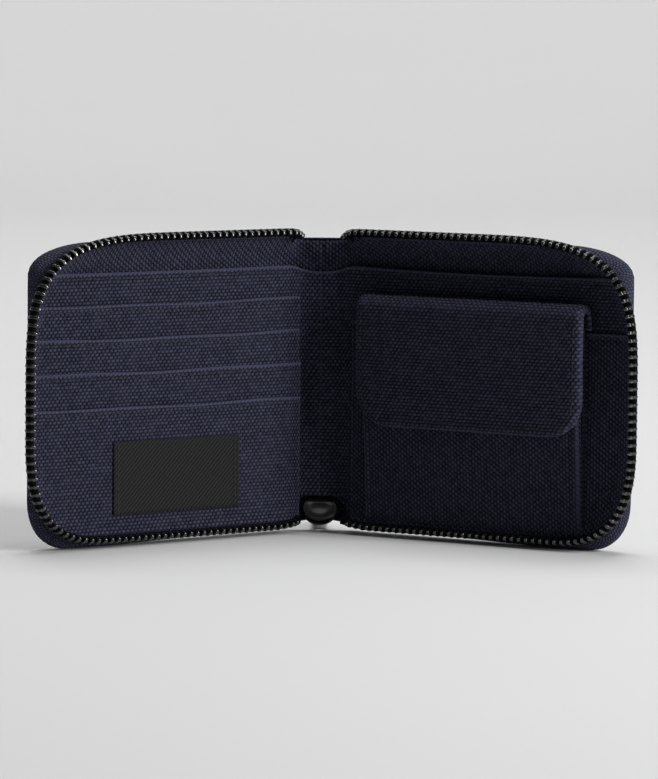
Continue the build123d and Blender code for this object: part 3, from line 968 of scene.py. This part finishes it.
def make_lining(half):
    """Floor of the well: it rises to the tape on all three sides and runs over the spine."""
    line = rim_inset(1.5)
    on = RIM[:, 0] > 1.0
    index = np.arange(len(RIM))
    top = line[(index <= UPPER_STATION) & on]
    top = np.vstack([[(-FOLD_X, 93.6), (-5, 93.7), (-1, 94.2)], top])
    low = line[(index >= LOWER_STATION) & on]
    low = np.vstack([low, [(-0.5, 6.5), (-3.5, 11.0), (-FOLD_X, NOTES_FOOT + 0.2)]])
    nu, nv = 96, 56
    top, low = resample(top, nu), resample(low[::-1], nu)
    fore = resample(line[UPPER_STATION:LOWER_STATION + 1], nv)
    near = np.linspace(top[0], low[0], nv)
    grid = coons(top, low, near, fore)
    U, Z = grid[..., 0], grid[..., 1]
    D = lift(U, Z, LINING_DEPTH, 9.0) + smooth((2.0 - U) / 5.0) * unit((Z - 84) / 10.0) * 0.4
    obj = grid_object(f"{half.side}_lining_cloth", half.world(U, D, Z),
                      np.stack([half.cloth(U), Z], -1), CANVAS_TURNED, flip=half.sign > 0)
    thicken(obj, 0.4)
    replaced = [f"{half.side}_inner_lining", f"{half.side}_edge_lining"]
    if half.side == "left":
        replaced.append("spine_lining")
    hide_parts(*replaced)
    half.blend(obj)


# ---------------------------------------------------------------- right half

def dense(points, step=1.0):
    """A profile with its points at most step apart."""
    out = [points[0]]
    for a, b in zip(points, points[1:]):
        parts = max(1, int(np.ceil(hypot(b[0] - a[0], b[1] - a[1]) / step)))
        for i in range(1, parts + 1):
            t = i / parts
            out.append((a[0] + t * (b[0] - a[0]), a[1] + t * (b[1] - a[1])))
    return np.array(out)


def pocket_sheet(name, half, profile, us, material, swell=None):
    """A sheet of one (depth, height) profile all along the half; swell(u, z) adds to its depth."""
    profile = dense(profile, 1.5)
    U, R = np.meshgrid(us, lengths(profile))
    D, Z = np.repeat(profile[:, :1], len(us), 1), np.repeat(profile[:, 1:], len(us), 1)
    if swell is not None:
        D = D + swell(U, Z)
    return grid_object(name, half.world(U, D, Z), np.stack([U, R], -1), material, flip=half.sign < 0)


FACE_LOW, FACE_HIGH = RIGHT.extent("coin_flap_front")
FLAP = dict(
    left=FACE_LOW[0], right=FACE_HIGH[0] - 1.4, low=FACE_LOW[2], corner=12.0, face=FACE_HIGH[1] - 0.4,
    fold=RIGHT.extent("coin_flap_top")[1][2], root=RIGHT.extent("coin_pocket_back")[1][1] + 0.2,
)


def make_slip_pocket():
    half = RIGHT

    def depth(u, z):
        return lift(u, z, SLIP_DEPTH) + 0.25 * unit(1 - (SLIP_TOP - z) / 9.0)

    grid = well_grid(SLIP_TOP, 2.0, 1.0, 80, 44)
    obj = pocket("slip_pocket_cloth", half, grid, depth, CANVAS_TURNED)
    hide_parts("slip_pocket")
    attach(obj, half.body)


def coin_depth(z):
    """Outside face of the coin pocket's front."""
    share = unit((z - COIN_FOOT[1]) / (COIN_MOUTH[1] - COIN_FOOT[1]))
    return COIN_FOOT[0] + share * (COIN_MOUTH[0] - COIN_FOOT[0])


def make_coin_pocket():
    half = RIGHT
    side = np.linspace(0, 1, 12) ** 1.3 * 5
    middle = np.linspace(COIN_LEFT + 5, COIN_RIGHT - 5, 40)[1:-1]
    us = np.concatenate([COIN_LEFT + side, middle, COIN_RIGHT - side[::-1]])
    profile = [(4.6, 5.0), (5.6, 5.2)]
    profile += [(coin_depth(z), z) for z in np.linspace(COIN_FOOT[1], 72.0, 30)]
    profile += [(11.3, 73.4), (10.9, 74.0), (10.5, 73.4), (10.3, 66.0)]

    def swell(u, z):
        edge = np.minimum(u - COIN_LEFT, COIN_RIGHT - u)
        round_off = -1.5 * bell(np.clip(edge, 0, 50), 0.8) * unit((z - 3.0) / 6.0)
        ridge = 0.30 * bell(edge - 1.3, 0.7) - 0.22 * bell(edge - 3.0, 0.5)
        belly = 0.5 * np.sin(pi * unit((u - COIN_LEFT) / (COIN_RIGHT - COIN_LEFT)))
        belly = belly * np.sin(pi * unit(z / COIN_MOUTH[1]))
        return round_off + ridge * unit((z - 4.0) / 8.0) + belly

    obj = pocket_sheet("coin_front_cloth", half, profile, us, CANVAS_TURNED, swell)
    edge = np.minimum(us - COIN_LEFT, COIN_RIGHT - us)
    rows = len(obj.data.vertices) // len(us)
    # The folded side edges are painted lighter: painted highlight where the light catches them, with some
    # fold wear.
    add_wear_and_painted_light(obj, np.tile(1.5 * bell(edge - 0.5, 0.8), (rows, 1)))
    thicken(obj, 0.6)
    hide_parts("coin_pocket_front")
    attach(obj, half.body)
    back = pocket_sheet("coin_back_cloth", half, [(COIN_BACK, 5.0), (COIN_BACK, 72.0)], us, CANVAS)
    thicken(back, 0.6)
    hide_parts("coin_pocket_back")
    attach(back, half.body)
    make_gussets(half)


def make_gussets(half):
    """The folded side strips of the coin pocket, with one inward pleat."""
    Z, T = np.meshgrid(np.linspace(5.5, 73.5, 30), np.linspace(0, 1, 9), indexing="ij")
    deep = coin_depth(Z) - 1.2 - COIN_BACK
    pleat = 2.6 * np.sin(pi * T) * deep / 6.0
    verts, faces = [], []
    for edge, inward in ((COIN_LEFT + 0.2, 1), (COIN_RIGHT - 0.2, -1)):
        faces += grid_faces(*Z.shape, base=Z.size * len(verts))
        verts.append(half.world(edge + inward * pleat, COIN_BACK + T * deep, Z).reshape(-1, 3))
    uv = np.tile(np.stack([T * 7.0, Z], -1).reshape(-1, 2), (2, 1))
    obj = make_object("coin_gusset_cloth", np.concatenate(verts), faces, CANVAS_TURNED, uv)
    thicken(obj, 0.5, 0.0)
    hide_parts("coin_pocket_gusset")
    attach(obj, half.body)


def flap_ends(run):
    """Left and right ends of the flap at a distance from its lower edge, with its rounded corners."""
    f = FLAP
    t = unit(1 - run / f["corner"])
    cut = f["corner"] * (1 - np.sqrt(1 - t ** 2))
    over = smooth((run - 40.0) / 6.0)
    return f["left"] + cut - 0.3 * over, f["right"] - cut + 1.5 * over


def flap_path():
    """(depth, height) of the flap from its lower edge up the face, over the fold and down to its root."""
    f = FLAP
    face, fold, low = f["face"], f["fold"], f["low"]
    front = [(face - 0.2, low), (face + 0.1, low + 12), (face + 0.35, low + 24), (face + 0.1, fold - 4.5)]
    over = [(face - 0.45, fold - 2.2), (face - 1.6, fold - 0.6), (face - 3.3, fold + 0.1)]
    over += [(face - 5.0, fold - 0.4)]
    back = [(f["root"] + 1.4, fold - 2.2), (f["root"] + 0.6, fold - 4.8), (f["root"] + 0.2, fold - 7.6)]
    return spline(front + over + back, 10)


def make_flap():
    """The flap in one sheet: from its root on the pocket's back, round the fold and down the face."""
    path = flap_path()
    run = lengths(path)
    f = FLAP
    inside = 2.5        # the seam's distance from the edge
    at = np.concatenate([f["corner"] * (1 - np.cos(np.linspace(0.12, pi / 2, 12))),
                         np.linspace(f["corner"], run[-1], 46)[1:]])
    spread = np.linspace(0, 1, 72)
    share = 0.55 * spread + 0.45 * (0.5 - 0.5 * np.cos(pi * spread))
    left, right = flap_ends(at)
    U = left[:, None] + share[None] * (right - left)[:, None]
    R = np.repeat(at[:, None], len(share), 1)
    D, Z = np.moveaxis(along_line(R, run, path), -1, 0)
    tangent = np.gradient(path, axis=0)
    tangent /= np.linalg.norm(tangent, axis=1)[:, None]
    normal_d, normal_z = np.interp(R, run, tangent[:, 1]), -np.interp(R, run, tangent[:, 0])
    side = np.minimum(U - left[:, None], right[:, None] - U)
    edge = np.clip(-np.log(np.exp(-side / 0.8) + np.exp(-R / 0.8)) * 0.8, 0, 50)
    t = unit(1 - edge / 2.6)
    fall = 2.3 * (1 - np.sqrt(unit(1 - t ** 2)))
    groove = 0.20 * bell(edge - inside, 0.42) * (R < 42)
    pillow = 0.45 * unit(edge / 12) * bell(R - 18, 16)
    shift = pillow - groove - fall
    D, Z = D + normal_d * shift, Z + normal_z * shift
    obj = grid_object("flap_cloth", RIGHT.world(U, D, Z), np.stack([U, R], -1), CANVAS)
    # The flap's edges and its fold line are painted lighter: painted highlight where the light catches them,
    # with some fold wear.
    add_wear_and_painted_light(obj, 0.45 * bell(edge, 0.9) + 0.35 * bell(R - 40.5, 2.0))
    thicken(obj, 1.2)
    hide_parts("coin_flap_front", "coin_flap_lining", "flap_magnet", "coin_flap_top")
    start = RIGHT.world(49, f["face"] - 1.0, f["fold"] - 2.2)
    end = RIGHT.world(49, f["face"] - 4.2, f["fold"] + 0.6)
    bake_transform(obj)
    turn = np.linspace(pi / 2, 0, 12)
    inward = np.concatenate([[inside], f["corner"] - (f["corner"] - inside) * np.sin(turn)])
    up = np.concatenate([[37.0], f["corner"] - (f["corner"] - inside) * np.cos(turn)])
    us = np.concatenate([f["left"] + inward, f["right"] - inward[::-1]])
    seam = np.stack([us, np.interp(np.concatenate([up, up[::-1]]), run, path[:, 1])], -1)
    threads = stitches("flap_seam", RIGHT, seam, lambda u, z: np.interp(z - f["low"], run, path[:, 0]) - 0.08)
    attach(threads, "flap_front")


# ---------------------------------------------------------------- label

def make_label():
    """A plain woven label with its ends folded under and sewn down."""
    half = LEFT
    (u0, _, z0), (u1, _, z1) = LABEL_LOW, LABEL_HIGH
    turned = 3.0
    us = np.concatenate([np.linspace(u0, u0 + turned, 12), np.linspace(u0 + turned, u1 - turned, 30)[1:-1],
                         np.linspace(u1 - turned, u1, 12)])
    U, Z = np.meshgrid(us, np.linspace(z0, z1, 22))
    side = np.minimum(U - u0, u1 - U)
    rise = 0.34 + 0.30 * smooth((2.6 - side) / 0.9) - 0.25 * bell(side - 1.6, 0.3)
    rise = rise - 0.35 * np.exp(-side / 0.2) + 0.1 * np.sin(U / 4.0) * np.exp(-(z1 - Z) / 2.0)
    D = lift(U, Z, LABEL_DEPTH) - 0.25 + rise
    obj = grid_object("label_cloth", half.world(U, D, Z), np.stack([U, Z], -1), label_material(), flip=True)
    thicken(obj, 0.35)
    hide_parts("woven_label")
    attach(obj, half.body)
    for tag, u in (("near", u0 + 1.7), ("far", u1 - 1.7)):
        ends = np.array([(u, z0 + 0.6), (u, z1 - 0.2)])
        seam = stitches(f"label_seam_{tag}", half, ends, lambda u, z: LABEL_DEPTH + 0.23,
                        BLACK_THREAD, pitch=2.2, gap=0.6)
        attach(seam, half.body)


# ---------------------------------------------------------------- slider

def shield(half_width, nose, tail, scale=1.0):
    """Outline of a slider plate: a rounded tip at the nose and a squarer tail, nose towards -y."""
    a = np.linspace(0, 2 * pi, 40, endpoint=False)
    x, y = np.sin(a), -np.cos(a)
    reach = np.where(y < 0, nose, tail) - half_width * (1 - scale)
    across = half_width * scale * np.abs(x) ** np.where(y < 0, 1.0, 0.6) * np.where(x > 0, 1, -1)
    along = reach * np.abs(y) ** np.where(y < 0, 1.0, 0.7) * np.where(y > 0, 1, -1)
    return np.stack([across, along], -1)


def plate_rings(half_width, nose, tail, low, high, rim=0.35):
    """Closed rings of a plate with rounded edges, from its underside to its face."""
    steps = (
        (0.2, low), (0.86, low), (0.97, low + 0.25 * rim), (1.0, low + rim), (1.0, high - rim),
        (0.97, high - 0.25 * rim), (0.9, high), (0.84, high - 0.12), (0.4, high + 0.05), (0.05, high + 0.08),
    )
    rings = []
    for scale, z in steps:
        line = shield(half_width, nose, tail, scale)
        if scale <= 0.4:
            line = shield(half_width, nose, tail, 0.84) * (scale / 0.84)
        rings.append(np.column_stack([line, np.full(len(line), z)]))
    return rings


def join_rings(parts):
    """Vertices and faces of stacks of rings, each closed at both ends."""
    verts, faces = [], []
    for rings in parts:
        faces += tube_faces(len(rings), len(rings[0]), len(verts))
        verts += list(np.concatenate(rings))
    return np.array(verts), faces


def round_bar(x, y, wide, long, low, high, steps):
    """Rings of an upright bar of oval section."""
    a = np.linspace(0, 2 * pi, steps, endpoint=False)
    ring = np.stack([x + wide * np.sin(a), y - long * np.cos(a)], -1)
    return [np.column_stack([ring, np.full(steps, z)]) for z in (low, high)]


def slider_frame():
    """Centre and axes of the slider: x across, y towards its tail, z out of its inner face."""
    centre = 0.5 * sum(np.array(point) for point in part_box("slider_body")) / MM
    tail = -np.array(JOINTS["slider_travel"]["axis"])
    return centre, np.array([1.0, 0, 0]), tail, np.array([0, -tail[2], tail[1]])


def make_slider():
    """Two shield-shaped plates joined by a post, and a flange under each side of the inner plate."""
    centre, ax, ay, az = slider_frame()
    parts = [plate_rings(5.6, 5.0, 4.4, 1.35, 2.35), plate_rings(4.7, 3.6, 4.2, -2.1, -1.3)]
    parts.append(round_bar(0.0, 1.6, 1.1, 1.3, -1.5, 1.5, 16))
    for side in (-1, 1):
        parts.append(round_bar(side * 4.3, -0.6, 0.45, 3.0, 0.55, 1.6, 12))
    points, faces = join_rings(parts)
    world = centre + points[:, :1] * ax + points[:, 1:2] * ay + points[:, 2:] * az
    body = make_object("slider_plates", world * MM, faces, SLIDER_METAL)
    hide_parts("slider_body")
    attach(body, "slider")
    make_crown(centre, az)


def make_crown(centre, az):
    """The strap on the outer plate that holds the pull."""
    axis = np.array([p / MM for p in JOINTS["pull_tab_swing"]["pos_m"]])
    foot_low = centre - 2.0 * az + np.array([0, 0.9, 1.6])
    foot_high = centre - 2.0 * az + np.array([0, 2.2, 3.1])
    path = spline([foot_low, foot_low + (0, 0.5, -2.0), axis + (0, -0.9, -0.5), axis + (0, 0.3, -1.15),
                   axis + (0, 1.3, -0.2), axis + (0, 1.2, 1.6), foot_high + (0, 0.3, -0.6), foot_high], 6)
    side = np.array([1.0, 0, 0])
    a = np.linspace(0, 2 * pi, 12, endpoint=False)[:, None]
    rings = []
    for i, p in enumerate(path):
        d = path[min(i + 1, len(path) - 1)] - path[max(i - 1, 0)]
        up = np.cross(side, d / np.linalg.norm(d))
        rings.append(p + side * 0.95 * np.cos(a) + up * 0.32 * np.sin(a))
    points, faces = join_rings([rings])
    crown = make_object("slider_strap", points * MM, faces, SLIDER_METAL)
    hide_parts("slider_crown")
    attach(crown, "slider")


# ---------------------------------------------------------------- stage

def make_camera():
    """A camera fitted to the photograph: millimetres from the spine, radians, focal length in pixels."""
    cx, distance, height = -4.947, 1485.5, 181.31
    pitch, yaw, roll, focal = 0.0910, 0.0051, 0.0096, 4630.5
    picture_height = 779
    spine_x, spine_y = LEFT.spine_x, LEFT.fold.y
    forward = np.array([sin(yaw) * cos(pitch), cos(yaw) * cos(pitch), -sin(pitch)])
    right = np.array([cos(yaw), -sin(yaw), 0.0])
    up = np.array([sin(yaw) * sin(pitch), cos(yaw) * sin(pitch), cos(pitch)])
    turned_right = right * cos(roll) + up * sin(roll)
    turned_up = up * cos(roll) - right * sin(roll)
    data = bpy.data.cameras.new("camera")
    data.sensor_fit = "VERTICAL"
    data.sensor_height = 36.0
    data.lens = focal / picture_height * data.sensor_height
    data.clip_start, data.clip_end = 0.05, 20.0
    camera = bpy.data.objects.new("camera", data)
    bpy.context.scene.collection.objects.link(camera)
    matrix = np.eye(4)
    matrix[:3, :3] = np.stack([turned_right, turned_up, -forward], -1)
    matrix[:3, 3] = np.array([cx + spine_x, -distance + spine_y, height]) * MM
    camera.matrix_world = Matrix(matrix.tolist())
    bpy.context.scene.camera = camera


def make_floor():
    """A pale sweep: floor, a wide curve and a wall far behind."""
    reach, start, radius, height = 4.0, 2.0, 0.8, 3.0
    profile = [(-reach, 0.0), (start, 0.0)]
    for a in np.linspace(0, pi / 2, 13)[1:]:
        profile.append((start + radius * sin(a), radius * (1 - cos(a))))
    profile.append((start + radius, height))
    verts = [(x, y, z) for y, z in profile for x in (-reach, reach)]
    k = Nodes("backdrop")
    cloud = k.noise(k.add("ShaderNodeTexCoord").outputs["Object"], 3.0, 2.0)
    material = k.paint(k.mix(cloud, (0.60, 0.60, 0.60), (0.63, 0.63, 0.63)), Roughness=0.9)
    floor = make_object("backdrop", verts, grid_faces(len(profile), 2), material)


def area_light(name, place, target, size, power):
    data = bpy.data.lights.new(name, "AREA")
    data.shape = "RECTANGLE"
    data.size, data.size_y = size
    data.energy = power
    obj = bpy.data.objects.new(name, data)
    bpy.context.scene.collection.objects.link(obj)
    obj.location = place
    obj.rotation_euler = (Vector(target) - Vector(place)).to_track_quat("-Z", "Y").to_euler()


def make_lights():
    """A dim even light, seen brighter past the backdrop, and three soft lamps."""
    world = bpy.data.worlds.new("studio")
    world.use_nodes = True
    tree = world.node_tree
    back = tree.nodes["Background"]
    back.inputs[0].default_value = (1, 1, 1, 1)
    seen = tree.nodes.new("ShaderNodeMapRange")
    seen.inputs[3].default_value, seen.inputs[4].default_value = 0.13, 0.74
    tree.links.new(tree.nodes.new("ShaderNodeLightPath").outputs["Is Camera Ray"], seen.inputs[0])
    tree.links.new(seen.outputs[0], back.inputs[1])
    bpy.context.scene.world = world
    bpy.context.scene.view_settings.view_transform = "Standard"
    area_light("key", (1.38, -0.80, 0.60), (0, 0, 0.05), (0.45, 1.15), 36.0)
    area_light("top", (0.1, 0.25, 1.6), (0, 0, 0.0), (1.0, 1.0), 14.0)
    area_light("wall", (0.0, 1.3, 2.2), (0, 2.8, 0.5), (3.0, 0.8), 44.0)


# ---------------------------------------------------------------- carried over CAD nodes

def paint_cad_nodes():
    """Materials for the CAD nodes; those that a piece replaces don't show."""
    looks = {
        "slider_body": SLIDER_METAL, "slider_crown": SLIDER_METAL, "pull_tab": SLIDER_METAL,
        "pocket_magnet": STEEL, "left_cover_board": BOARD, "right_cover_board": BOARD,
        "left_top_stop": TEETH_METAL, "right_top_stop": TEETH_METAL, "bottom_stop": TEETH_METAL,
    }
    for name, obj in frame["nodes"].items():
        material = looks.get(name, CANVAS if "lining" in name else TAPE_CLOTH)
        obj.data.materials.clear()
        obj.data.materials.append(material)


make_camera()
make_floor()
make_lights()
paint_cad_nodes()
for half in HALVES:
    make_cover(half)
    make_board(half)
    make_tape(half)
    make_lining(half)
    make_teeth(half)
    make_notes_panel(half)
make_left_pockets()
make_label()
make_slip_pocket()
make_coin_pocket()
make_flap()
make_slider()
